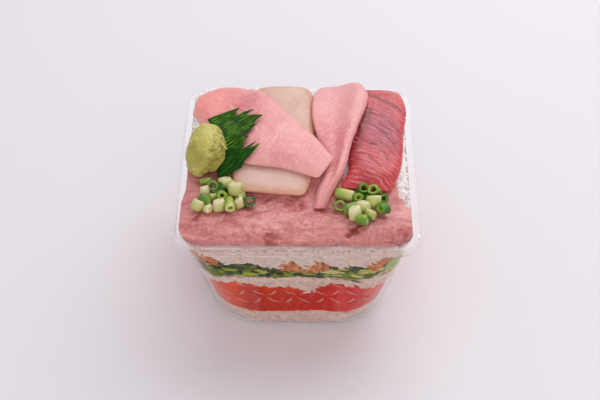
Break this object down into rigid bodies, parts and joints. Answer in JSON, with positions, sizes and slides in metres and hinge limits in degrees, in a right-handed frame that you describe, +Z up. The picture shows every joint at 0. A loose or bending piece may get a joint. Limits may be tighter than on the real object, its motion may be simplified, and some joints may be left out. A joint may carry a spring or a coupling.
{
  "type": "takeaway sushi tub",
  "caption": "Deep square clear takeaway tub of layered sushi: rice, fish and greens show through the walls, topped with minced and sliced tuna, wasabi and spring onion.",
  "frame": {"origin": "middle of the tub's underside, on the surface it stands on", "axes": "+Z up, +Y to the back (away from the band of minced tuna), +X to the right seen from the front"},
  "size_m": [0.12, 0.12, 0.0965],
  "materials": {
    "clear_plastic": "clear thin plastic",
    "rice": "cooked white rice",
    "salmon": "raw salmon, moist",
    "red_tuna": "raw red tuna, moist",
    "green_leaves": "shredded green leaves",
    "salmon_flakes": "cooked flaked salmon",
    "cucumber": "pale cut vegetable",
    "minced_tuna": "minced fatty tuna, soft and moist",
    "pale_slice": "pale raw fish, translucent",
    "akami_slice": "lean red tuna with a mauve sheen",
    "chutoro_slice": "medium fatty tuna with pale streaks",
    "otoro_slice": "pink fatty tuna with fine sinews",
    "leaf_film": "dark green film cut like grass",
    "wasabi": "grated wasabi, crumbly",
    "spring_onion": "cut spring onion"
  },
  "bodies": {
    "root": {"tub": "clear_plastic", "rice_bottom": "rice", "salmon_layer": "salmon", "tuna_layer": "red_tuna", "rice_middle": "rice", "greens": "green_leaves", "salmon_flakes": "salmon_flakes", "rice_top": "rice", "cucumber_piece": "cucumber", "minced_tuna": "minced_tuna", "pale_slice": "pale_slice", "akami_slice": "akami_slice", "chutoro_slice": "chutoro_slice", "otoro_slice": "otoro_slice", "leaf_divider": "leaf_film", "wasabi": "wasabi", "spring_onions_left": "spring_onion", "spring_onions_right": "spring_onion"}
  },
  "joints": []
}
